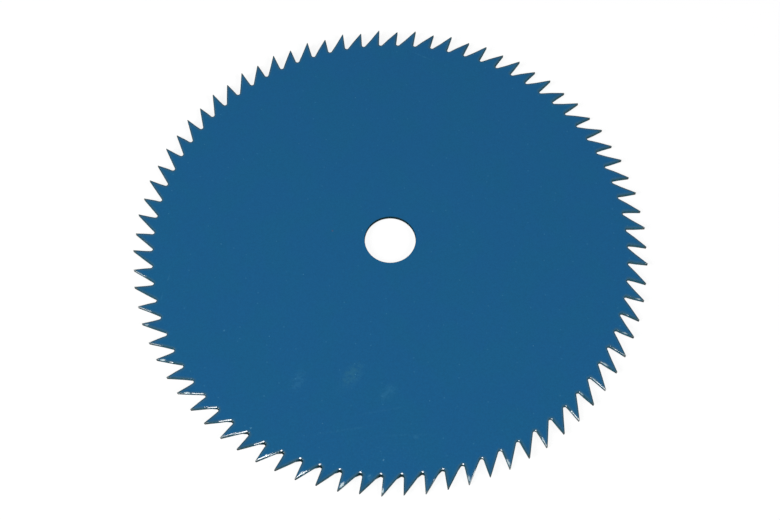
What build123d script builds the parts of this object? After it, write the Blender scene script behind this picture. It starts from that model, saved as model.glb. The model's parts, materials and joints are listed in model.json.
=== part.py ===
from build123d import *

import os
from math import asin, atan2, degrees, radians, sin, sqrt

# Brush cutter blade: a flat steel plate, notched all round into saw teeth.
# Every second tooth is bent up and the ones between are bent down.
# The frame has +Z along the bore and its origin at the bore's centre, halfway
# through the plate. A tooth tip lies on +X, and that tooth is bent down.
# Lengths are in millimetres and angles in degrees.

# The plate
blade_diameter = 255.0
plate_thickness = 2.0

# The bore that centres the blade on its arbor, with its sharp edges broken
bore_diameter = 25.4
bore_chamfer = 0.2

# The teeth, counted in pairs of one bent down and one bent up
tooth_pairs = 40
tooth_depth = 9.4
rake_angle = 3.7
tip_land = 0.4
gullet_radius = 1.0

# The set: how far each tip stands out, and how far in from the tip it bends
set_offset = 0.8
set_length = 5.8
set_bend_radius = 6.0

blade_radius = blade_diameter / 2
bore_radius = bore_diameter / 2
root_radius = blade_radius - tooth_depth
pitch_angle = 180 / tooth_pairs

# The plate and the teeth are made apart and joined halfway out to the gullets
joint_radius = (bore_radius + root_radius) / 2

# The front face runs through the tip, leaning from the radius by the rake angle.
# In a frame turned by that angle it lies at a fixed height, and the gullet's
# circle touches it from below and the root circle from outside.
front_face_height = blade_radius * sin(radians(rake_angle))
gullet_height = front_face_height - gullet_radius
gullet_reach = sqrt((root_radius + gullet_radius) ** 2 - gullet_height**2)

tip = Vector(blade_radius, 0)
land_end = tip.rotate(Axis.Z, degrees(tip_land / blade_radius))
front_foot = Vector(gullet_reach, front_face_height).rotate(Axis.Z, -rake_angle)
gullet_centre = Vector(gullet_reach, gullet_height).rotate(Axis.Z, -rake_angle)
gullet_bottom = gullet_centre.normalized() * root_radius
joint_start = gullet_centre.normalized() * joint_radius

next_gullet_centre = gullet_centre.rotate(Axis.Z, pitch_angle)
next_gullet_bottom = gullet_bottom.rotate(Axis.Z, pitch_angle)
joint_end = joint_start.rotate(Axis.Z, pitch_angle)

# The back face is the straight line from the land's end that touches the next gullet
back_line = next_gullet_centre - land_end
back_length = sqrt(back_line.length**2 - gullet_radius**2)
back_angle = degrees(atan2(back_line.Y, back_line.X) + asin(gullet_radius / back_line.length))
back_foot = land_end + Vector(back_length, 0).rotate(Axis.Z, back_angle)

# Seen from above: one tooth with half a gullet on each side and its share of plate
with BuildSketch() as tooth_outline:
    with BuildLine():
        RadiusArc(gullet_bottom, front_foot, -gullet_radius)
        Line(front_foot, tip)
        RadiusArc(tip, land_end, -blade_radius)
        Line(land_end, back_foot)
        RadiusArc(back_foot, next_gullet_bottom, -gullet_radius)
        Line(next_gullet_bottom, joint_end)
        RadiusArc(joint_end, joint_start, joint_radius)
        Line(joint_start, gullet_bottom)
    make_face()


def set_tooth(side):
    """One tooth, its tip bent to the given side: 1 is up and -1 is down."""
    bend = (blade_radius - set_length, 0)
    tip_middle = Vector(blade_radius, side * set_offset)
    beyond_tip = tip_middle + (tip_middle - Vector(bend))
    with BuildPart() as tooth:
        # Seen from the side: the sheet, running out flat and then bent
        with BuildSketch(Plane.XZ):
            with BuildLine() as sheet_middle:
                FilletPolyline((0, 0), bend, beyond_tip, radius=set_bend_radius)
            trace(sheet_middle.line, line_width=plate_thickness)
        extrude(amount=blade_radius * radians(pitch_angle), both=True)
        # What lies inside the tooth's outline is kept
        add(tooth_outline.sketch)
        extrude(amount=plate_thickness + set_offset, both=True, mode=Mode.INTERSECT)
    return tooth.part


with BuildPart() as blade:
    with BuildSketch():
        Circle(joint_radius)
        Circle(bore_radius, mode=Mode.SUBTRACT)
    extrude(amount=plate_thickness / 2, both=True)
    bore_edges = blade.edges().filter_by(GeomType.CIRCLE).group_by(SortBy.RADIUS)[0]
    chamfer(bore_edges, length=bore_chamfer)
    with PolarLocations(0, tooth_pairs):
        add(set_tooth(-1))
    with PolarLocations(0, tooth_pairs, start_angle=pitch_angle):
        add(set_tooth(1))

blade.part.label = "blade"

os.makedirs("parts", exist_ok=True)
export_step(blade.part, "parts/blade.step")
print("blade: tip circle", blade_diameter, "root circle", 2 * root_radius)
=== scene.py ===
"""Brush cutter blade: a round plate of painted steel with set saw teeth, on a pale floor.

The frame gives the plate's size. The blade is drawn once as a slice, one tooth wide, with its
rolled-over edges, and a Geometry Nodes tree repeats the slice round the bore and bends the teeth
to alternate sides. Lengths are in metres and angles in radians unless a name says otherwise.
"""

import json
import logging
from dataclasses import dataclass, field, fields
from enum import Enum
from math import asin, atan2, cos, pi, radians, sin, sqrt

import bmesh
import bpy
from mathutils import Matrix, Vector


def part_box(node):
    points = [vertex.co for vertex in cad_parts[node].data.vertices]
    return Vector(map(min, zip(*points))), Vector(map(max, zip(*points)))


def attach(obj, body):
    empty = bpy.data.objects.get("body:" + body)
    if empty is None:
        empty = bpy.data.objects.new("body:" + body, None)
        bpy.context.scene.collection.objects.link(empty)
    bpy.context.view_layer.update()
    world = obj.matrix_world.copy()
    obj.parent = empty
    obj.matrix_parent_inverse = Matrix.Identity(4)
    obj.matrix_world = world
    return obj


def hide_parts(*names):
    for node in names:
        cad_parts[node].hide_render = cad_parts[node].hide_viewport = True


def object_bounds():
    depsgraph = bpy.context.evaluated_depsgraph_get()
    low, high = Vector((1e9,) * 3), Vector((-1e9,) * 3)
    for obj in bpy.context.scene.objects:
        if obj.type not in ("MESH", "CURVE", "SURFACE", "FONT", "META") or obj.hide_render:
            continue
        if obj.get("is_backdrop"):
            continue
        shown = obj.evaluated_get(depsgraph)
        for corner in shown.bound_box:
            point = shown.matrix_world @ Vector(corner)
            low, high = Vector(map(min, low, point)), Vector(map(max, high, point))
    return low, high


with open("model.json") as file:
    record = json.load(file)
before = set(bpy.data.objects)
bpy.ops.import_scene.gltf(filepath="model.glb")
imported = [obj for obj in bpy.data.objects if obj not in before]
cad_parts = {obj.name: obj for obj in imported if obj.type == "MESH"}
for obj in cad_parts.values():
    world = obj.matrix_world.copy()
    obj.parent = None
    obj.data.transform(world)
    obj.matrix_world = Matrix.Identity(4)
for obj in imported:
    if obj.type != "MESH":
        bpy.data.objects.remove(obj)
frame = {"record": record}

IMAGE_WIDTH_PX = 780
SENSOR_WIDTH_MM = 36.0
MM = 0.001
TEETH = 80

# Points closer than this are one, in a slice and where slices meet
SLICE_MERGE = 1e-4 * MM
RIM_MERGE = 1e-3 * MM

# What a place is multiplied by to bring it into the plate's plane
IN_PLANE = (1.0, 1.0, 0.0)
WHITE = (1.0, 1.0, 1.0, 1.0)

# How a tree's nodes are spread out in rows, to be read in Blender
NODES_PER_ROW = 12
NODE_WIDTH = 220
NODE_HEIGHT = 260

Colour = tuple[float, float, float, float]
Vert = bmesh.types.BMVert
Socket = bpy.types.NodeSocket

log = logging.getLogger("blade")


class Face(Enum):
    """The two flat faces of the plate, by the way each looks along Z."""

    UPPER = 1
    LOWER = -1


class Finish(Enum):
    """The finishes of the blade's faces, by the number that each face carries."""

    PAINT = 0
    CUT_EDGE = 1
    BORE_WALL = 2


class LampShape(Enum):
    """The shapes of the lamps, by Blender's names for them."""

    RECTANGLE = "RECTANGLE"
    ELLIPSE = "ELLIPSE"


@dataclass(frozen=True)
class EdgeRoll:
    """The rounding along one face's edge: arcs that follow each other from the wall to the flat.

    Attributes:
        arcs: each arc's radius, and how far the surface still leans at its inner end.
        steps: how many faces each arc is made of.
        wall_bands: how many of its faces, counted from the wall, have the wall's finish.
    """

    arcs: tuple[tuple[float, float], ...]
    steps: int
    wall_bands: int

    def rings(self) -> list[tuple[float, float]]:
        """Works out the section of the rounding.

        Returns:
            (inset, drop) of each ring of points, from the outline inwards.
        """
        places = [(0.0, 0.0)]
        outer_lean = pi / 2
        for radius, inner_lean in self.arcs:
            inset, rise = places[-1]
            for step in range(1, self.steps + 1):
                lean = outer_lean + (inner_lean - outer_lean) * step / self.steps
                across = radius * (sin(outer_lean) - sin(lean))
                up = radius * (cos(lean) - cos(outer_lean))
                places.append((inset + across, rise + up))
            outer_lean = inner_lean
        top = places[-1][1]
        return [(inset, top - rise) for inset, rise in places]


@dataclass
class ToothSlice:
    """One tooth with half a gullet on each side and its share of the plate, lying flat.

    Its frame has +X from the blade's centre through the tooth's tip and +Y round the rim.

    Attributes:
        teeth: how many slices go round.
        tip_radius: from the centre to a tip.
        bore_radius: from the centre to the bore's wall.
        half_thickness: half the plate's thickness.
        tooth_depth: from the tip circle to the gullets' bottoms.
        rake: the angle of the front face to the radius.
        tip_land: the width of the tip.
        gullet_radius: the radius of the gullets' bottoms.
        rolls: the rounding of each face's edge.
        bore_roll: the rounding of the bore's edges.
        gullet_steps: faces round half a gullet.
        flank_steps: faces along each side of the tooth.
        flank_crowding: how strongly they crowd towards the tip, where 1 is evenly spread.
        columns: faces across the flat of the tooth.
        plate_rings: how the plate's faces divide the way from the gullets to the bore.
        work: the mesh being made.
    """

    teeth: int
    tip_radius: float
    bore_radius: float
    half_thickness: float
    tooth_depth: float = 9.4 * MM
    rake: float = radians(3.7)
    tip_land: float = 0.4 * MM
    gullet_radius: float = 1.0 * MM
    rolls: dict[Face, EdgeRoll] = field(
        default_factory=lambda: {
            Face.UPPER: EdgeRoll(
                arcs=((0.12 * MM, radians(22)), (2.8 * MM, radians(9)), (1.0 * MM, 0.0)),
                steps=3,
                wall_bands=3,
            ),
            Face.LOWER: EdgeRoll(arcs=((0.15 * MM, 0.0),), steps=2, wall_bands=1),
        }
    )
    bore_roll: EdgeRoll = EdgeRoll(arcs=((0.2 * MM, 0.0),), steps=3, wall_bands=3)
    gullet_steps: int = 6
    flank_steps: int = 8
    flank_crowding: float = 1.5
    columns: int = 4
    plate_rings: tuple[float, ...] = (0.04, 0.35, 0.7, 0.93, 0.985)
    work: bmesh.types.BMesh = field(default_factory=bmesh.new, init=False)

    def __post_init__(self) -> None:
        """Works out the outline's fixed points, in the plan of the blade."""
        self.pitch = 2 * pi / self.teeth
        self.root_radius = self.tip_radius - self.tooth_depth
        height = self.tip_radius * sin(self.rake) - self.gullet_radius
        reach = sqrt((self.root_radius + self.gullet_radius) ** 2 - height**2)
        to_tooth = Matrix.Rotation(-self.rake, 2)
        self.gullet = to_tooth @ Vector((reach, height))
        self.next_gullet = Matrix.Rotation(self.pitch, 2) @ self.gullet
        self.front_outward = -(to_tooth @ Vector((0, 1)))
        self.front_way = to_tooth @ Vector((1, 0))
        land_end = Vector((self.tip_radius, self.tip_land))
        line = self.next_gullet - land_end
        back_angle = atan2(line.y, line.x) + asin(self.gullet_radius / line.length)
        self.back_way = -Vector((cos(back_angle), sin(back_angle)))
        self.back_outward = Vector((-self.back_way.y, self.back_way.x))

    def ring(self, inset: float) -> list[Vector]:
        """Moves the outline inwards.

        Args:
            inset: how far in from the tooth's walls.

        Returns:
            Points from one gullet's bottom over the tip to the next gullet's bottom.
        """
        radius = self.gullet_radius + inset
        start = atan2(self.gullet.y, self.gullet.x)
        front_turn = atan2(-self.front_outward.y, -self.front_outward.x)
        back_turn = atan2(-self.back_outward.y, -self.back_outward.x)
        front_foot = self.gullet + radius * Vector((cos(front_turn), sin(front_turn)))
        back_foot = self.next_gullet + radius * Vector((cos(back_turn), sin(back_turn)))
        front_tip, back_tip = self.tip_corners(front_foot, back_foot, inset)
        front = self.arc(self.gullet, radius, start + pi, front_turn)
        back = self.arc(self.next_gullet, radius, back_turn + 2 * pi, start + self.pitch + pi)
        front += [front_foot.lerp(front_tip, u) for u in self.flank_shares()]
        back = [back_tip.lerp(back_foot, 1 - u) for u in reversed(self.flank_shares())] + back
        return front + back

    def flank_shares(self) -> list[float]:
        """Shares of a tooth's side, from just past its foot to its tip, closer near the tip."""
        steps = self.flank_steps
        return [1 - (1 - step / steps) ** self.flank_crowding for step in range(1, steps + 1)]

    def arc(self, centre: Vector, radius: float, start: float, end: float) -> list[Vector]:
        """Divides an arc into equal steps.

        Args:
            centre: the arc's centre.
            radius: its radius.
            start: the angle at its first point.
            end: the angle at its last point.

        Returns:
            Its points, with both ends.
        """
        steps = self.gullet_steps
        angles = [start + (end - start) * step / steps for step in range(steps + 1)]
        return [centre + radius * Vector((cos(a), sin(a))) for a in angles]

    def tip_corners(
        self, front_foot: Vector, back_foot: Vector, inset: float
    ) -> tuple[Vector, Vector]:
        """Finds where the moved sides meet the moved land, or each other where none is left.

        Args:
            front_foot: a point of the moved front side.
            back_foot: a point of the moved back side.
            inset: how far in the sides were moved.

        Returns:
            The front corner and the back corner of the tip, one point where they meet.
        """
        land = self.tip_radius - inset
        front_tip = front_foot + self.front_way * ((land - front_foot.x) / self.front_way.x)
        back_tip = back_foot + self.back_way * ((land - back_foot.x) / self.back_way.x)
        if front_tip.y < back_tip.y:
            return front_tip, back_tip
        across = back_foot - front_foot
        reach = across.cross(self.back_way) / self.front_way.cross(self.back_way)
        meeting = front_foot + self.front_way * reach
        return meeting, meeting.copy()

    def build(self) -> bpy.types.Mesh:
        """Makes the slice's mesh, open where it meets its neighbours.

        Returns:
            The mesh, with each face's finish and each point's distance in from the teeth's walls.
        """
        self.work.verts.layers.float.new("inset")
        self.work.faces.layers.int.new("finish")
        rims = {face: self.build_face(face) for face in Face}
        self.strip(rims[Face.LOWER], rims[Face.UPPER], Finish.CUT_EDGE)
        bores = {face: self.bore_rim(face) for face in Face}
        self.strip(bores[Face.UPPER], bores[Face.LOWER], Finish.BORE_WALL)
        bmesh.ops.remove_doubles(self.work, verts=self.work.verts, dist=SLICE_MERGE)
        mesh = bpy.data.meshes.new("tooth_slice")
        self.work.to_mesh(mesh)
        self.work.free()
        return mesh

    def point(self, place: Vector, inset: float) -> Vert:
        """Adds a point.

        Args:
            place: where it goes.
            inset: how far it lies in from the teeth's walls.

        Returns:
            The point.
        """
        vert = self.work.verts.new(place)
        vert[self.work.verts.layers.float["inset"]] = inset
        return vert

    def strip(self, first: list[Vert], second: list[Vert], finish: Finish) -> None:
        """Joins two lines of points with a strip of faces.

        Args:
            first: one line's points.
            second: the other line's points, on the left of the first's way from outside.
            finish: the faces' finish.
        """
        layer = self.work.faces.layers.int["finish"]
        for corners in zip(first, first[1:], second[1:], second):
            self.work.faces.new(corners)[layer] = finish.value

    def skin(
        self,
        rows: list[list[Vert]],
        face: Face,
        wall_bands: int = 0,
        wall_finish: Finish = Finish.PAINT,
    ) -> None:
        """Joins neighbouring rows of points with faces that look out of the plate.

        Args:
            rows: the rows, from the rim towards the bore.
            face: which face of the plate they lie on.
            wall_bands: how many bands, from the first, have the wall's finish.
            wall_finish: that finish.
        """
        for band, (outer, inner) in enumerate(zip(rows, rows[1:])):
            finish = wall_finish if band < wall_bands else Finish.PAINT
            lines = (outer, inner) if face is Face.UPPER else (inner, outer)
            self.strip(*lines, finish)

    def build_face(self, face: Face) -> list[Vert]:
        """Makes one face of the slice: the rolled edge, the flat of the tooth and the plate.

        Args:
            face: which face of the plate.

        Returns:
            The points of the outline, where the wall begins.
        """
        roll = self.rolls[face]
        rows = []
        for inset, drop in roll.rings():
            height = face.value * (self.half_thickness - drop)
            places = [Vector((*place, height)) for place in self.ring(inset)]
            rows.append([self.point(place, inset) for place in places])
        inner = [vert.co.copy() for vert in rows[-1]]
        half = len(inner) // 2
        reach = roll.rings()[-1][0]
        lines = [self.across(inner[i], inner[-1 - i], reach) for i in range(half - 1, -1, -1)]
        lines += self.plate_lines(inner[0])
        self.skin(rows, face, roll.wall_bands, Finish.CUT_EDGE)
        self.skin(lines, face)
        return rows[0]

    def across(self, start: Vector, end: Vector, reach: float) -> list[Vert]:
        """Lays a line of points across the flat of the tooth.

        Args:
            start: the line's first place, on the roll's inner ring.
            end: its last place, on the ring's other side.
            reach: how far in from the walls the ring lies.

        Returns:
            The line's points.
        """
        line = []
        for column in range(self.columns + 1):
            share = column / self.columns
            depth = min(share, 1 - share) * (end - start).length
            line.append(self.point(start.lerp(end, share), reach + depth))
        return line

    def plate_lines(self, start: Vector) -> list[list[Vert]]:
        """Lays the plate's lines of points from the gullets in to the bore's rolled edge.

        Args:
            start: where the plate begins at the first gullet.

        Returns:
            The lines, each along an arc round the centre.
        """
        bore_inset = self.bore_roll.rings()[-1][0]
        outer, inner = start.xy.length, self.bore_radius + bore_inset
        radii = [outer + (inner - outer) * share for share in (*self.plate_rings, 1.0)]
        return [self.arc_line(radius, start.z) for radius in radii]

    def arc_line(self, radius: float, height: float) -> list[Vert]:
        """Lays a line of points over one pitch, round the centre.

        Args:
            radius: the line's radius.
            height: its height.

        Returns:
            The line's points.
        """
        first = atan2(self.gullet.y, self.gullet.x)
        turns = [first + self.pitch * column / self.columns for column in range(self.columns + 1)]
        places = [Vector((radius * cos(a), radius * sin(a), height)) for a in turns]
        return [self.point(place, self.root_radius - radius) for place in places]

    def bore_rim(self, face: Face) -> list[Vert]:
        """Rounds the bore's edge from the plate's face to the bore's wall.

        Args:
            face: which face of the plate.

        Returns:
            The points where the bore's wall begins.
        """
        rows = []
        for inset, drop in self.bore_roll.rings():
            height = face.value * (self.half_thickness - drop)
            rows.append(self.arc_line(self.bore_radius + inset, height))
        self.skin(rows[::-1], face, self.bore_roll.wall_bands, Finish.BORE_WALL)
        return rows[0]


@dataclass
class NodeGraph:
    """Lays out a node tree with short calls.

    Attributes:
        tree: the node tree that the nodes go into.
    """

    tree: bpy.types.NodeTree

    def add(self, kind: str, inputs: dict | None = None, **settings: object) -> bpy.types.Node:
        """Adds a node.

        Args:
            kind: the node's type.
            inputs: values or sockets for its inputs, by name or number.
            settings: the node's own settings.

        Returns:
            The node.
        """
        node = self.tree.nodes.new(kind)
        row, column = divmod(len(self.tree.nodes) - 1, NODES_PER_ROW)
        node.location = (NODE_WIDTH * column, -NODE_HEIGHT * row)
        for name, value in settings.items():
            setattr(node, name, value)
        for key, value in (inputs or {}).items():
            self.feed(node.inputs[key], value)
        return node

    def feed(self, socket: Socket, value: object) -> None:
        """Gives an input what it reads.

        Args:
            socket: the input.
            value: the output to link to it, or the value to set it to.
        """
        if isinstance(value, Socket):
            self.tree.links.new(value, socket)
        else:
            socket.default_value = value

    def math(self, operation: str, *values: object) -> Socket:
        """Adds a Math node and returns its result."""
        return self.add("ShaderNodeMath", dict(enumerate(values)), operation=operation).outputs[0]

    def vector(self, operation: str, *values: object, result: str = "Vector") -> Socket:
        """Adds a Vector Math node and returns its result, which is its Vector or its Value."""
        inputs = dict(enumerate(values))
        return self.add("ShaderNodeVectorMath", inputs, operation=operation).outputs[result]

    def combine(self, **parts: object) -> Socket:
        """Adds a node that makes a vector of its parts X, Y and Z, and returns the vector."""
        return self.add("ShaderNodeCombineXYZ", parts).outputs[0]

    def ramp(
        self, value: Socket, low: float, high: float, start: float = 0.0, end: float = 1.0
    ) -> Socket:
        """Adds a smooth step.

        Args:
            value: what the step is taken of.
            low: the value where it begins.
            high: the value where it ends, which may be the smaller one.
            start: the result at and before its beginning.
            end: the result at and after its end.

        Returns:
            Its result.
        """
        if low > high:
            low, high, start, end = high, low, end, start
        inputs = {"Value": value, "From Min": low, "From Max": high, "To Min": start, "To Max": end}
        node = self.add("ShaderNodeMapRange", inputs, interpolation_type="SMOOTHSTEP")
        return node.outputs["Result"]

    def blend(self, share: Socket, first: object, second: object) -> Socket:
        """Adds a mix of two colours.

        Args:
            share: how much of the second colour is in it.
            first: the first colour.
            second: the second colour.

        Returns:
            The mixed colour.
        """
        node = self.add("ShaderNodeMix", data_type="RGBA")
        sockets = {socket.identifier: socket for socket in node.inputs}
        self.feed(sockets["Factor_Float"], share)
        self.feed(sockets["A_Color"], first)
        self.feed(sockets["B_Color"], second)
        return next(socket for socket in node.outputs if socket.identifier == "Result_Color")

    def noise(self, place: Socket, size: float, detail: float = 2.0) -> Socket:
        """Adds noise with features of a size, and returns its value, from 0 to 1."""
        inputs = {"Vector": place, "Scale": 1 / size, "Detail": detail}
        return self.add("ShaderNodeTexNoise", inputs).outputs[0]

    def vary(
        self, value: object, place: Socket, size: float, span: float, detail: float = 2.0
    ) -> Socket:
        """Moves a value up and down with noise, half the span each way, and returns the result."""
        least = self.math("SUBTRACT", value, span / 2)
        return self.math("MULTIPLY_ADD", self.noise(place, size, detail), span, least)


@dataclass
class SawRim(NodeGraph):
    """The tree that repeats the slice round the bore and bends the teeth to alternate sides.

    Attributes:
        teeth: how many teeth go round.
        tip_radius: from the centre to a tip.
        half_thickness: half the plate's thickness.
        set_offset: how far each tip stands out of the plate's plane.
        set_length: how far in from the tip the tooth bends.
        bend_radius: the radius of the bend.
        unevenness: how much the set differs between teeth, as a share of it.
        seed: what the differences are drawn from.
        sharp_angle: edges that turn more than this stay sharp.
        gather: how far the paint that ran down stands out in the lowest gullets.
        gather_sink: how far the face sinks towards it.
        gather_turn: the direction in which the blade hung down while the paint dried, which also
            places the painted shade in the lowest gullets.
    """

    teeth: int
    tip_radius: float
    half_thickness: float
    set_offset: float = 0.8 * MM
    set_length: float = 5.8 * MM
    bend_radius: float = 6.0 * MM
    unevenness: float = 0.1
    seed: int = 4
    sharp_angle: float = radians(50)
    gather: float = 0.8 * MM
    gather_sink: float = 0.05 * MM
    gather_turn: float = radians(257)

    def __post_init__(self) -> None:
        declare = self.tree.interface.new_socket
        declare("Slice", in_out="INPUT", socket_type="NodeSocketGeometry")
        for name, value in self.sizes().items():
            kind = "NodeSocketInt" if isinstance(value, int) else "NodeSocketFloat"
            declare(name, in_out="INPUT", socket_type=kind)
        declare("Blade", in_out="OUTPUT", socket_type="NodeSocketGeometry")
        self.given = self.add("NodeGroupInput").outputs

    def sizes(self) -> dict[str, float]:
        """Lists the values of the tree's named inputs, such as Tip Radius for tip_radius."""
        names = [item.name for item in fields(self) if item.name != "tree"]
        return {name.replace("_", " ").title(): getattr(self, name) for name in names}

    def build(self, materials: dict[Finish, bpy.types.Material]) -> None:
        """Lays the tree's nodes.

        Args:
            materials: the material of each finish.
        """
        # The stored share also places the painted shade on the lowest gullets' walls.
        marked = self.add("GeometryNodeStoreNamedAttribute", {
            "Geometry": self.repeat(), "Name": "gathered", "Value": self.gather_and_shade_share(),
        })
        painted = self.add("GeometryNodeSetPosition", {
            "Geometry": marked.outputs[0], "Offset": self.gathered_paint(),
        })
        bent = self.add("GeometryNodeSetPosition", {
            "Geometry": painted.outputs[0], "Position": self.bent_place(),
        })
        self.add("NodeGroupOutput", {"Blade": self.finish(bent.outputs[0], materials)})

    def attribute(self, name: str, kind: str = "FLOAT") -> Socket:
        """Adds a node that reads an attribute, and returns its value."""
        node = self.add("GeometryNodeInputNamedAttribute", {"Name": name}, data_type=kind)
        return node.outputs["Attribute"]

    def direction(self, turn: Socket) -> Socket:
        """Adds nodes that turn +X round the bore's axis, and returns the direction."""
        return self.combine(X=self.math("COSINE", turn), Y=self.math("SINE", turn))

    def repeat(self) -> Socket:
        """Puts one slice at each tooth's place, numbered, and joins them.

        Returns:
            The flat blade.
        """
        index = self.add("GeometryNodeInputIndex").outputs[0]
        places = self.add("GeometryNodePoints", {"Count": self.given["Teeth"]})
        numbered = self.add("GeometryNodeStoreNamedAttribute", {
            "Geometry": places.outputs[0], "Name": "tooth", "Value": index,
        }, data_type="INT")
        pitch = self.math("DIVIDE", 2 * pi, self.given["Teeth"])
        slices = self.add("GeometryNodeInstanceOnPoints", {
            "Points": numbered.outputs[0], "Instance": self.given["Slice"],
            "Rotation": self.combine(Z=self.math("MULTIPLY", index, pitch)),
        })
        whole = self.add("GeometryNodeRealizeInstances", {"Geometry": slices.outputs[0]})
        joined = self.add("GeometryNodeMergeByDistance", {
            "Geometry": whole.outputs[0], "Distance": RIM_MERGE,
        })
        return joined.outputs[0]

    def gather_and_shade_share(self) -> Socket:
        """Works out where the paint ran down to gather, which is also where the walls get painted
        shade.

        Returns:
            1 round the bottoms of the lowest gullets, and 0 away from them.
        """
        place = self.add("GeometryNodeInputPosition").outputs[0]
        in_plane = self.vector("MULTIPLY", place, IN_PLANE)
        radius = self.vector("LENGTH", in_plane, result="Value")
        radial = self.vector("NORMALIZE", in_plane)
        down = self.direction(self.given["Gather Turn"])
        facing = self.vector("DOT_PRODUCT", radial, down, result="Value")
        lowest = self.ramp(facing, low=cos(radians(40)), high=cos(radians(12)))
        depth = self.math("SUBTRACT", self.given["Tip Radius"], radius)
        outer = self.ramp(depth, low=8.0 * MM, high=9.2 * MM)
        inner = self.ramp(depth, low=11.0 * MM, high=9.8 * MM)
        return self.math("MULTIPLY", lowest, self.math("MULTIPLY", outer, inner))

    def gathered_paint(self) -> Socket:
        """Works out how far the gathered paint pushes each point out and sinks it.

        Returns:
            The points' offsets, the most at the gullets' lower edges.
        """
        place = self.add("GeometryNodeInputPosition").outputs[0]
        share = self.attribute("gathered")
        z = self.add("ShaderNodeSeparateXYZ", {0: place}).outputs[2]
        height = self.math("DIVIDE", z, self.given["Half Thickness"])
        most = self.math("MULTIPLY", self.given["Gather"], share)
        sag = self.ramp(height, low=0.9, high=-0.9, start=0.1, end=1.0)
        reach = self.math("MULTIPLY", most, sag)
        deepest = self.math("MULTIPLY", self.given["Gather Sink"], share)
        beside_wall = self.ramp(self.attribute("inset"), low=1.0 * MM, high=0.1 * MM)
        upper = self.ramp(height, low=0.1, high=0.4)
        sink = self.math("MULTIPLY", deepest, self.math("MULTIPLY", beside_wall, upper))
        radial = self.vector("NORMALIZE", self.vector("MULTIPLY", place, IN_PLANE))
        outwards = self.vector("MULTIPLY", radial, reach)
        return self.vector("ADD", outwards, self.combine(Z=self.math("MULTIPLY", sink, -1.0)))

    def bent_place(self) -> Socket:
        """Works out where each point goes when its tooth is bent.

        The sheet's middle leaves the plane along an arc and runs on straight to the tip. The
        sheet keeps its thickness, so it is taller where it slopes.

        Returns:
            The points' new places.
        """
        math, given = self.math, self.given
        bend_radius = given["Bend Radius"]
        tooth = self.attribute("tooth", "INT")
        radial = self.direction(math("MULTIPLY", tooth, math("DIVIDE", 2 * pi, given["Teeth"])))
        place = self.add("GeometryNodeInputPosition").outputs[0]
        along = self.vector("DOT_PRODUCT", place, radial, result="Value")
        slope = math("DIVIDE", given["Set Offset"], given["Set Length"])
        bend = math("ARCTANGENT", slope)
        half_bend = math("TANGENT", math("MULTIPLY", bend, 0.5))
        corner = math("SUBTRACT", given["Tip Radius"], given["Set Length"])
        start = math("SUBTRACT", corner, math("MULTIPLY", bend_radius, half_bend))
        past = math("MAXIMUM", math("SUBTRACT", along, start), 0.0)
        in_arc = math("MINIMUM", past, math("MULTIPLY", bend_radius, math("SINE", bend)))
        squared = math("MULTIPLY", bend_radius, bend_radius)
        height = math("SQRT", math("SUBTRACT", squared, math("MULTIPLY", in_arc, in_arc)))
        arc_rise = math("SUBTRACT", bend_radius, height)
        straight_rise = math("MULTIPLY", math("SUBTRACT", past, in_arc), slope)
        share = self.add("FunctionNodeRandomValue", {
            "Min": math("SUBTRACT", 1.0, given["Unevenness"]), "Max": 1.0, "ID": tooth,
            "Seed": given["Seed"],
        })
        odd = math("FLOORED_MODULO", tooth, 2.0)
        side = math("SUBTRACT", math("MULTIPLY", odd, 2.0), 1.0)
        rise = math("MULTIPLY", math("ADD", arc_rise, straight_rise), share.outputs["Value"])
        x, y, z = self.add("ShaderNodeSeparateXYZ", {0: place}).outputs
        tall = math("MULTIPLY", z, math("DIVIDE", bend_radius, height))
        return self.combine(X=x, Y=y, Z=math("ADD", tall, math("MULTIPLY", rise, side)))

    def finish(self, blade: Socket, materials: dict[Finish, bpy.types.Material]) -> Socket:
        """Smooths the shading up to the sharp edges and gives the faces their finishes.

        Args:
            blade: the bent blade.
            materials: the material of each finish.

        Returns:
            The finished blade.
        """
        angle = self.add("GeometryNodeInputMeshEdgeAngle").outputs["Unsigned Angle"]
        limits = {0: angle, 1: self.given["Sharp Angle"]}
        gentle = self.add("FunctionNodeCompare", limits, operation="LESS_THAN")
        dressed = self.add("GeometryNodeSetShadeSmooth", {
            "Geometry": blade, "Shade Smooth": gentle.outputs[0],
        }, domain="EDGE").outputs[0]
        number = self.attribute("finish", "INT")
        for finish, material in materials.items():
            chosen = self.add("FunctionNodeCompare", {
                "A": number, "B": finish.value,
            }, data_type="INT", operation="EQUAL")
            dressed = self.add("GeometryNodeSetMaterial", {
                "Geometry": dressed, "Selection": chosen.outputs[0], "Material": material,
            }).outputs[0]
        return dressed

    def apply(self, blade: bpy.types.Object) -> None:
        """Runs the tree on the slice and keeps its result as the object's plain mesh.

        Args:
            blade: the object that holds the slice.
        """
        modifier = blade.modifiers.new("saw_rim", "NODES")
        modifier.node_group = self.tree
        sockets = {item.name: item.identifier for item in self.tree.interface.items_tree}
        for name, value in self.sizes().items():
            modifier[sockets[name]] = value
        graph = bpy.context.evaluated_depsgraph_get()
        whole = bpy.data.meshes.new_from_object(blade.evaluated_get(graph))
        blade.modifiers.remove(modifier)
        blade.data = whole
        whole.name = blade.name


class Tint(Enum):
    """The linear colours that show through or lie on the paint, and the pale colour of painted
    glints.
    """

    PALE = (0.047, 0.24, 0.42, 1.0)
    WARM = (0.040, 0.20, 0.20, 1.0)
    RUST = (0.15, 0.07, 0.05, 1.0)
    # Painted highlight: the pale colour of the painted glints.
    CHIP = (0.58, 0.72, 0.77, 1.0)


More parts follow.
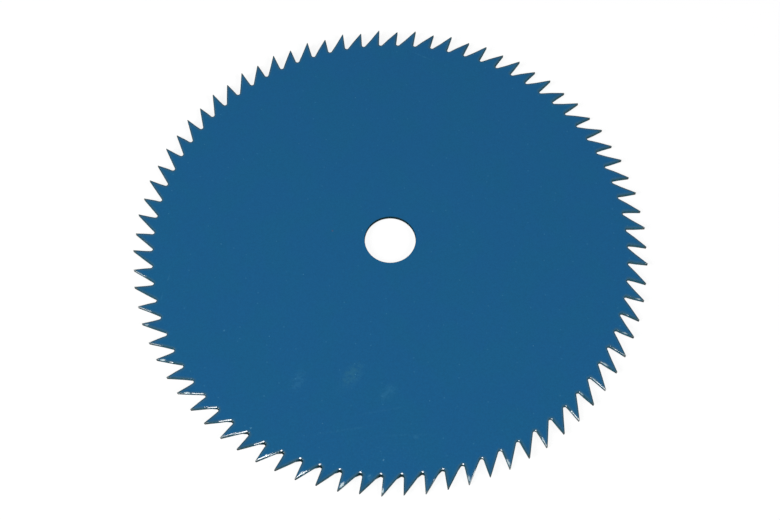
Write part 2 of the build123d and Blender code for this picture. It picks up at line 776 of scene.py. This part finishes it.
@dataclass(frozen=True)
class MarkOrGlint:
    """A mark with a soft, torn edge on the upper face: a real mark, or a painted glint.

    Attributes:
        tint: its colour.
        x_mm: the place of its middle along X, in millimetres.
        y_mm: the place of its middle along Y.
        half_length_mm: half its length.
        half_width_mm: half its width.
        turn_deg: the direction of its length, in degrees from X.
        strength: how much of its colour covers the paint.
        half_depth_mm: how far above and below the face it reaches.
    """

    tint: Tint
    x_mm: float
    y_mm: float
    half_length_mm: float
    half_width_mm: float
    turn_deg: float
    strength: float
    half_depth_mm: float = 1.6

    def mask(self, graph: NodeGraph, place: Socket, height: float) -> Socket:
        """Adds the nodes that find the mark.

        Args:
            graph: the material's tree.
            place: where the material is read.
            height: the height of the upper face.

        Returns:
            How much the mark covers each place.
        """
        frame_of_mark = graph.add("ShaderNodeMapping", {
            "Vector": place, "Location": (self.x_mm * MM, self.y_mm * MM, height),
            "Rotation": (0.0, 0.0, radians(self.turn_deg)),
            "Scale": (self.half_length_mm * MM, self.half_width_mm * MM, self.half_depth_mm * MM),
        }, vector_type="TEXTURE")
        away = graph.vector("LENGTH", frame_of_mark.outputs[0], result="Value")
        torn = graph.vary(away, place, size=0.45 * MM, span=1.6, detail=3.0)
        return graph.ramp(torn, low=1.0, high=0.25, start=0.0, end=self.strength)


HANDLING_MARKS = tuple(MarkOrGlint(*mark) for mark in (
    (Tint.PALE, -16.0, -72.5, 12.0, 6.0, 55.0, 0.08),
    (Tint.WARM, -16.0, -71.5, 9.0, 4.5, 55.0, 0.18),
    (Tint.PALE, -41.0, -75.0, 7.5, 4.0, 65.0, 0.16),
    (Tint.PALE, 1.5, -79.5, 6.5, 4.2, 50.0, 0.16),
    (Tint.PALE, -1.5, -88.5, 16.0, 0.6, 12.0, 0.10),
    (Tint.PALE, -20.0, -98.5, 22.0, 0.7, 11.0, 0.12),
    (Tint.PALE, 11.0, -99.5, 15.0, 0.7, 4.0, 0.10),
    (Tint.PALE, 15.0, -100.5, 1.8, 1.2, 0.0, 0.16),
    (Tint.PALE, -108.0, -24.5, 3.2, 0.4, 78.0, 0.35),
    (Tint.PALE, -110.0, -34.0, 3.4, 0.4, 79.0, 0.25),
    (Tint.PALE, 13.5, 111.5, 7.5, 0.5, -26.0, 0.25),
    (Tint.PALE, -78.0, -51.0, 0.6, 0.6, 0.0, 0.6),
    (Tint.PALE, 29.0, -108.5, 0.7, 0.6, 0.0, 0.6),
    (Tint.PALE, 0.5, -111.5, 0.7, 0.5, 90.0, 0.7),
    (Tint.PALE, 81.5, -78.5, 0.6, 0.6, 0.0, 0.5),
    (Tint.PALE, -61.0, -98.5, 0.7, 0.6, 0.0, 0.7),
    (Tint.PALE, -50.0, -108.0, 0.6, 0.5, 0.0, 0.7),
    (Tint.PALE, -5.5, -119.5, 2.0, 1.5, 60.0, 0.6),
    (Tint.RUST, -29.0, 4.0, 0.7, 0.6, 0.0, 0.5),
))

# Painted highlights: pale marks where the rolled edges of some teeth, mostly by the tips, show the
# lamp's glint.
PAINTED_GLINTS = tuple(MarkOrGlint(Tint.CHIP, *glint) for glint in (
    (-115.3, -49.3, 1.2, 0.7, 10.0, 0.6),
    (-105.4, -66.9, 1.7, 0.7, 0.0, 1.2),
    (-92.2, -82.8, 1.9, 0.7, 2.0, 1.3),
    (-52.8, -111.0, 1.2, 0.7, 10.0, 0.7),
    (-36.3, -118.6, 1.6, 0.7, 37.0, 0.9),
    (-17.9, -123.4, 1.9, 0.8, 55.0, 1.9),
    (0.7, -125.4, 1.6, 0.7, 81.0, 1.0),
    (39.3, -118.8, 2.2, 0.9, 106.0, 0.55),
    (57.2, -111.0, 2.2, 0.8, 112.0, 0.75),
    (73.3, -100.3, 2.2, 0.8, 115.0, 0.75),
    (86.9, -86.4, 1.3, 0.7, 131.0, 0.7),
    (91.6, -77.4, 1.4, 0.7, 136.0, 0.55),
    (97.9, -70.5, 1.9, 0.7, 140.0, 0.8),
    (103.4, -62.6, 2.1, 0.7, 145.0, 0.7),
    (113.7, -46.8, 1.6, 0.8, 158.0, 0.6),
    (121.3, -28.9, 1.8, 0.8, 166.0, 0.7),
))


def new_material(name: str) -> tuple[bpy.types.Material, NodeGraph]:
    """Makes a material with an empty tree.

    Args:
        name: what it is called.

    Returns:
        The material, and what lays out its tree.
    """
    material = bpy.data.materials.new(name)
    material.use_nodes = True
    material.node_tree.nodes.clear()
    return material, NodeGraph(material.node_tree)


def tip_wear(graph: NodeGraph, place: Socket, tip_radius: float) -> Socket:
    """Finds where the tips are worn.

    Args:
        graph: the material's tree.
        place: where the material is read.
        tip_radius: from the centre to a tip.

    Returns:
        How much the paint is worn away.
    """
    radius = graph.vector("LENGTH", graph.vector("MULTIPLY", place, IN_PLANE), result="Value")
    ragged = graph.vary(radius, place, size=2.5 * MM, span=2.4 * MM, detail=3.0)
    return graph.ramp(ragged, low=tip_radius - 2.0 * MM, high=tip_radius - 0.4 * MM)


@dataclass(frozen=True)
class BluePaint:
    """Glossy blue paint on the blade's faces, worn at the tips, with painted shade and a painted
    sheen along the edges and painted glints on some teeth.

    Attributes:
        height: the height of the upper face.
        tip_radius: from the centre to a tip.
        colour: its linear colour.
        green_colour: the colour where it leans towards green.
        edge_sheen_colour: painted sheen, a greyish colour towards an edge in place of a dim
            reflection on the rounding.
        edge_shade_colour: painted shade, a dark colour along every edge in place of the shade on
            the rounding.
        tip_colour: the colour of the worn tips.
        roughness: how rough its surface is.
        mark_roughness: how much rougher it is under the marks.
        wear_roughness: how much rougher the worn tips are.
        speck_cell: the size of the cells of which some hold a speck.
        marks: the marks on it.
        worn_patch: the large patch by the near teeth that is worn in grains.
        chips: painted highlights, pale marks on the rolled edges of some teeth, mostly by the tips.
    """

    height: float
    tip_radius: float
    colour: Colour = (0.0066, 0.1085, 0.269, 1.0)
    green_colour: Colour = (0.0060, 0.1115, 0.260, 1.0)
    # Painted sheen: a greyish band just inside every edge.
    edge_sheen_colour: Colour = (0.055, 0.130, 0.160, 1.0)
    # Painted shade: a dark band along every edge.
    edge_shade_colour: Colour = (0.020, 0.074, 0.102, 1.0)
    tip_colour: Colour = (0.055, 0.105, 0.120, 1.0)
    roughness: float = 0.1
    mark_roughness: float = 0.5
    wear_roughness: float = 0.15
    speck_cell: float = 7 * MM
    marks: tuple[MarkOrGlint, ...] = HANDLING_MARKS
    worn_patch: MarkOrGlint = MarkOrGlint(Tint.PALE, 1.0, -108.0, 36.0, 12.0, 0.0, 0.14)
    chips: tuple[MarkOrGlint, ...] = PAINTED_GLINTS

    def build(self) -> bpy.types.Material:
        """Makes the paint's material.

        Returns:
            The material.
        """
        material, graph = new_material("blue_paint")
        place = graph.add("ShaderNodeTexCoord").outputs["Object"]
        marked, colour = self.marked(graph, place, self.mottled(graph, place))
        inset = graph.add("ShaderNodeAttribute", attribute_name="inset").outputs["Fac"]
        ragged = graph.vary(inset, place, size=1.2 * MM, span=0.6 * MM)
        # Painted sheen: the greyish band just inside every edge.
        edge_sheen = graph.ramp(ragged, low=1.9 * MM, high=0.6 * MM, start=0.0, end=0.4)
        colour = graph.blend(edge_sheen, colour, self.edge_sheen_colour)
        # Painted shade: the dark band along every edge.
        thin = graph.ramp(ragged, low=0.6 * MM, high=0.15 * MM)
        colour = graph.blend(thin, colour, self.edge_shade_colour)
        worn = tip_wear(graph, place, self.tip_radius)
        colour = graph.blend(worn, colour, self.tip_colour)
        # Painted highlights, laid over everything else.
        for glint in self.chips:
            colour = graph.blend(glint.mask(graph, place, self.height), colour, glint.tint.value)
        roughness = graph.vary(self.roughness, place, size=7 * MM, span=0.04)
        roughness = graph.math("MULTIPLY_ADD", marked, self.mark_roughness, roughness)
        roughness = graph.math("MULTIPLY_ADD", worn, self.wear_roughness, roughness)
        peel = graph.add("ShaderNodeBump", {
            "Strength": 0.2, "Distance": 0.02 * MM,
            "Height": graph.noise(place, size=2.2 * MM, detail=1.0),
        })
        shader = graph.add("ShaderNodeBsdfPrincipled", {
            "Base Color": colour, "Roughness": roughness, "Specular IOR Level": 1.0,
            "Normal": peel.outputs[0],
        })
        graph.add("ShaderNodeOutputMaterial", {"Surface": shader.outputs[0]})
        return material

    def mottled(self, graph: NodeGraph, place: Socket) -> Socket:
        """Varies the paint's colour: broad clouds that lean towards green, and a fine grain.

        Args:
            graph: the material's tree.
            place: where the material is read.

        Returns:
            The colour.
        """
        clouds = graph.ramp(graph.noise(place, size=24 * MM, detail=3.0), low=0.42, high=0.62)
        colour = graph.blend(clouds, self.colour, self.green_colour)
        grain = graph.vary(1.0, place, size=0.8 * MM, span=0.34, detail=3.0)
        return graph.vector("MULTIPLY", colour, grain)

    def marked(self, graph: NodeGraph, place: Socket, colour: Socket) -> tuple[Socket, Socket]:
        """Lays the handling marks, the specks and the grainy worn patch over the paint.

        Args:
            graph: the material's tree.
            place: where the material is read.
            colour: the paint's colour.

        Returns:
            How much the marks cover each place, and the colour with them.
        """
        covered = self.specks(graph, place)
        colour = graph.blend(covered, colour, Tint.PALE.value)
        grains = graph.ramp(graph.noise(place, size=0.9 * MM), low=0.55, high=0.75)
        patch = self.worn_patch.mask(graph, place, self.height)
        patch = graph.math("MULTIPLY", patch, grains)
        colour = graph.blend(patch, colour, self.worn_patch.tint.value)
        patches = graph.noise(place, size=1.6 * MM, detail=3.0)
        broken = graph.ramp(patches, low=0.35, high=0.62, start=0.2, end=1.0)
        for mark in self.marks:
            mask = graph.math("MULTIPLY", mark.mask(graph, place, self.height), broken)
            covered = graph.math("MAXIMUM", covered, mask)
            colour = graph.blend(mask, colour, mark.tint.value)
        return covered, colour

    def specks(self, graph: NodeGraph, place: Socket) -> Socket:
        """Scatters tiny pale specks, one to some of the cells of a Voronoi pattern.

        Args:
            graph: the material's tree.
            place: where the material is read.

        Returns:
            How much the specks cover each place.
        """
        inputs = {"Vector": place, "Scale": 1 / self.speck_cell}
        cells = graph.add("ShaderNodeTexVoronoi", inputs, voronoi_dimensions="2D").outputs
        near = graph.ramp(cells["Distance"], low=0.06, high=0.03)
        chance = graph.add("ShaderNodeSeparateXYZ", {0: cells["Color"]}).outputs[0]
        chosen = graph.ramp(chance, low=0.6, high=1.0, start=0.0, end=0.35)
        return graph.math("MULTIPLY", near, chosen)


@dataclass(frozen=True)
class CutEdge:
    """Dull dark paint on the walls that punching left, thin enough for the steel to darken it, with
    painted shade in the bottoms of the lowest gullets.

    Attributes:
        name: what it is called.
        tip_radius: from the centre to a tip.
        colour: its linear colour.
        thin_colour: its colour where it is thinnest.
        gullet_shade_colour: painted shade, its darker colour at the bottoms of the lowest gullets.
        tip_colour: the colour of the worn tips.
        roughness: how rough it is.
        patch_size: the size of the places where it is thinner, and rougher.
        stretch: what its tearing is shrunk by, so that it streaks along the bore's axis.
    """

    name: str
    tip_radius: float
    colour: Colour = (0.026, 0.135, 0.205, 1.0)
    thin_colour: Colour = (0.060, 0.135, 0.160, 1.0)
    # Painted shade for the walls of the lowest gullets.
    gullet_shade_colour: Colour = (0.012, 0.030, 0.036, 1.0)
    tip_colour: Colour = (0.075, 0.100, 0.105, 1.0)
    roughness: float = 0.55
    patch_size: float = 3.0 * MM
    stretch: tuple[float, float, float] = (1.0, 1.0, 0.15)

    def build(self) -> bpy.types.Material:
        """Makes the walls' material.

        Returns:
            The material.
        """
        material, graph = new_material(self.name)
        place = graph.add("ShaderNodeTexCoord").outputs["Object"]
        patches = graph.noise(place, self.patch_size, detail=3.0)
        thin = graph.ramp(patches, low=0.4, high=0.65)
        colour = graph.blend(thin, self.colour, self.thin_colour)
        # Painted shade: the walls at the bottoms of the lowest gullets are darkened.
        gathered = graph.add("ShaderNodeAttribute", attribute_name="gathered").outputs["Fac"]
        colour = graph.blend(gathered, colour, self.gullet_shade_colour)
        colour = graph.blend(tip_wear(graph, place, self.tip_radius), colour, self.tip_colour)
        streaks = graph.vector("MULTIPLY", place, self.stretch)
        torn = graph.add("ShaderNodeBump", {
            "Strength": 0.4, "Distance": 0.03 * MM,
            "Height": graph.noise(streaks, size=0.4 * MM),
        })
        shader = graph.add("ShaderNodeBsdfPrincipled", {
            "Base Color": colour,
            "Roughness": graph.vary(self.roughness, place, self.patch_size, 0.2, detail=3.0),
            "Specular IOR Level": 0.0,
            "Normal": torn.outputs[0],
        })
        graph.add("ShaderNodeOutputMaterial", {"Surface": shader.outputs[0]})
        return material


def add_object(name: str, data: bpy.types.ID) -> bpy.types.Object:
    """Adds an object to the scene.

    Args:
        name: what it is called.
        data: its mesh, lamp or camera.

    Returns:
        The object.
    """
    thing = bpy.data.objects.new(name, data)
    bpy.context.scene.collection.objects.link(thing)
    return thing


@dataclass
class Blade:
    """The blade, as one piece that stands for the node of the same name.

    Attributes:
        teeth: how many teeth it has.
        tip_radius: from the centre to a tip.
        bore_radius: the bore's radius.
        half_thickness: half the plate's thickness.
        bore_colour: the linear colour of the bore's wall, kept dark as painted shade for the inside
            of the bore.
        thin_bore_colour: its colour where the paint is thinnest, as dark with the same painted
            shade.
    """

    teeth: int
    tip_radius: float
    bore_radius: float
    half_thickness: float
    # Painted shade: the bore's wall is kept darker than the teeth's walls, for the shade inside the
    # bore.
    bore_colour: Colour = (0.008, 0.042, 0.058, 1.0)
    thin_bore_colour: Colour = (0.022, 0.040, 0.046, 1.0)

    def build(self) -> bpy.types.Object:
        """Makes and dresses the blade.

        Returns:
            Its object.
        """
        size = (self.teeth, self.tip_radius)
        tooth_slice = ToothSlice(*size, self.bore_radius, self.half_thickness)
        blade = add_object("painted_blade", tooth_slice.build())
        tree = bpy.data.node_groups.new("saw_rim", "GeometryNodeTree")
        rim = SawRim(tree, *size, self.half_thickness)
        walls = CutEdge("cut_edge", self.tip_radius)
        bore = CutEdge("bore_wall", self.tip_radius, self.bore_colour, self.thin_bore_colour)
        rim.build({
            Finish.PAINT: BluePaint(self.half_thickness, self.tip_radius).build(),
            Finish.CUT_EDGE: walls.build(),
            Finish.BORE_WALL: bore.build(),
        })
        rim.apply(blade)
        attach(blade, "root")
        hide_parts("blade")
        return blade


@dataclass
class Floor:
    """The pale floor that the blade lies on, which keeps its shadow.

    Attributes:
        height: its height.
        half_side: half its side.
        grey: its linear grey.
        lift: how much it is lifted towards white where the camera or a reflection sees it.
    """

    height: float
    half_side: float = 4.0
    grey: float = 0.2
    lift: float = 0.83

    def build(self) -> bpy.types.Object:
        """Makes the floor and marks it as stage.

        Returns:
            Its object.
        """
        side = self.half_side
        outline = [(-side, -side), (side, -side), (side, side), (-side, side)]
        mesh = bpy.data.meshes.new("floor")
        mesh.from_pydata([(x, y, self.height) for x, y in outline], [], [(0, 1, 2, 3)])
        mesh.materials.append(self.build_material())
        floor = add_object("floor", mesh)
        floor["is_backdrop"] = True
        return floor

    def build_material(self) -> bpy.types.Material:
        """Makes the floor's matt white, with a lift that lights nothing else.

        Returns:
            The material.
        """
        material, graph = new_material("floor")
        matt = graph.add("ShaderNodeBsdfDiffuse", {"Color": (self.grey,) * 3 + (1.0,)})
        path = graph.add("ShaderNodeLightPath").outputs
        seen = graph.math("MAXIMUM", path["Is Camera Ray"], path["Is Glossy Ray"])
        seen = graph.math("MAXIMUM", seen, path["Is Transmission Ray"])
        strength = graph.math("MULTIPLY", seen, self.lift)
        glow = graph.add("ShaderNodeEmission", {"Strength": strength})
        both = graph.add("ShaderNodeAddShader", {0: matt.outputs[0], 1: glow.outputs[0]})
        graph.add("ShaderNodeOutputMaterial", {"Surface": both.outputs[0]})
        return material


@dataclass
class Softbox:
    """A flat lamp that is aimed at the blade.

    Attributes:
        name: what it is called.
        place: where it hangs.
        width: its width.
        height: its height.
        power: its power in watts.
        shape: its shape.
    """

    name: str
    place: Vector
    width: float
    height: float
    power: float
    shape: LampShape = LampShape.RECTANGLE

    def build(self) -> bpy.types.Object:
        """Hangs the lamp.

        Returns:
            Its object.
        """
        light = bpy.data.lights.new(self.name, "AREA")
        light.shape = self.shape.value
        light.size = self.width
        light.size_y = self.height
        light.energy = self.power
        lamp = add_object(self.name, light)
        aim = self.place.to_track_quat("Z", "Y").to_matrix().to_4x4()
        lamp.matrix_world = Matrix.Translation(self.place) @ aim
        return lamp


@dataclass
class Studio:
    """Soft lamps round the blade and a dim room.

    Attributes:
        room_light: the strength of the light that comes from all round.
        lamps: the lamps.
    """

    room_light: float = 0.08
    lamps: tuple[Softbox, ...] = (
        Softbox("left_softbox", Vector((-1.6, -0.8, 1.2)), 1.1, 1.1, 29.0),
        Softbox("right_softbox", Vector((2.0, -1.0, 1.5)), 1.0, 1.0, 29.0),
        Softbox("key_lamp", Vector((-0.13, -0.85, 1.89)), 0.8, 0.5, 16.0, LampShape.ELLIPSE),
    )

    def build(self) -> None:
        """Hangs the lamps and sets the room's light."""
        for lamp in self.lamps:
            lamp.build()
        world = bpy.data.worlds.new("room")
        world.use_nodes = True
        room = world.node_tree.nodes["Background"].inputs
        room["Strength"].default_value = self.room_light
        room["Color"].default_value = WHITE
        bpy.context.scene.world = world
        bpy.context.scene.view_settings.view_transform = "Standard"


@dataclass
class Viewpoint:
    """The camera, looking down at the blade as the photograph does.

    Attributes:
        turn: how far round the blade it stands from -Y.
        elevation: the angle between its axis and the floor.
        roll: how far it is turned about its axis.
        distance: from the camera to the aim, along its axis.
        aim: the point of the plate's middle plane in the middle of the picture, before the turn.
        focal_length_px: its focal length, in pixels of the picture.
    """

    turn: float = radians(2.159)
    elevation: float = radians(64.957)
    roll: float = radians(-0.376)
    distance: float = 523.6 * MM
    aim: tuple[float, float, float] = (-0.17 * MM, -10.83 * MM, 0.0)
    focal_length_px: float = 1058.05

    def build(self) -> bpy.types.Object:
        """Sets the camera up and makes it the scene's.

        Returns:
            The camera's object.
        """
        lens = bpy.data.cameras.new("camera")
        lens.sensor_width = SENSOR_WIDTH_MM
        lens.lens = self.focal_length_px * SENSOR_WIDTH_MM / IMAGE_WIDTH_PX
        camera = add_object("camera", lens)
        stand = Matrix.Rotation(self.turn, 4, "Z") @ Matrix.Translation(self.aim)
        tilt = Matrix.Rotation(pi / 2 - self.elevation, 4, "X")
        out = Matrix.Translation((0, 0, self.distance))
        camera.matrix_world = stand @ tilt @ out @ Matrix.Rotation(self.roll, 4, "Z")
        bpy.context.scene.camera = camera
        return camera


def mount(name: str) -> dict:
    """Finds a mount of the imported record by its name."""
    return next(entry for entry in frame["record"]["mounts"] if entry["name"] == name)


def corners(box: tuple[Vector, Vector]) -> list[list[float]]:
    """A box's two corners as plain lists of numbers."""
    return [[float(value) for value in corner] for corner in box]


def main() -> None:
    """Builds the blade, the floor, the lamps and the camera."""
    logging.basicConfig(level=logging.INFO, format="%(name)s: %(message)s")
    frame_box = corners(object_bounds())
    lowest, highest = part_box("blade")
    blade = Blade(
        teeth=TEETH,
        tip_radius=highest.x,
        bore_radius=mount("bore")["dims"]["r_mm"] * MM,
        half_thickness=mount("upper_clamp_face")["pos_m"][2],
    ).build()
    log.info("%s: %d faces", blade.name, len(blade.data.polygons))
    floor = Floor(height=lowest.z).build()
    log.info("%s at %.5f", floor.name, lowest.z)
    studio = Studio()
    studio.build()
    log.info("studio: %d lamps", len(studio.lamps))
    camera = Viewpoint().build()
    log.info("%s: %.1f mm lens", camera.name, camera.data.lens)
    {"frame": frame_box, "visual": corners(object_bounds())}


if __name__ == "__main__":
    main()
